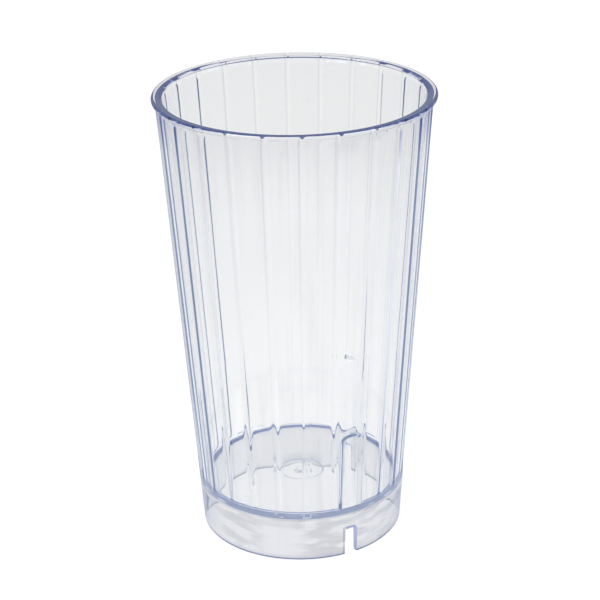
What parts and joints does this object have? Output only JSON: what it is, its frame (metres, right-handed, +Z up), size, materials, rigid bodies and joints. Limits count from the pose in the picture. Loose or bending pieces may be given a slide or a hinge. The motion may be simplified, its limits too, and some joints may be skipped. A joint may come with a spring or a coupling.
{
  "type": "plastic tumbler cup",
  "caption": "Tall tapered drinking tumbler in clear plastic, with a fluted wall, a rounded rim bead, a plain foot skirt, stacking lugs inside and drain slots in the foot.",
  "frame": {"origin": "centre of the foot ring, on the surface that the cup stands on", "axes": "+Z up along the cup's axis, -Y towards the viewer of the picture, +X to the viewer's right"},
  "size_m": [0.09, 0.09, 0.15],
  "materials": {
    "clear_plastic": "clear, glossy, faintly blue in its thick edges"
  },
  "bodies": {
    "root": {"tumbler": "clear_plastic"}
  },
  "joints": []
}
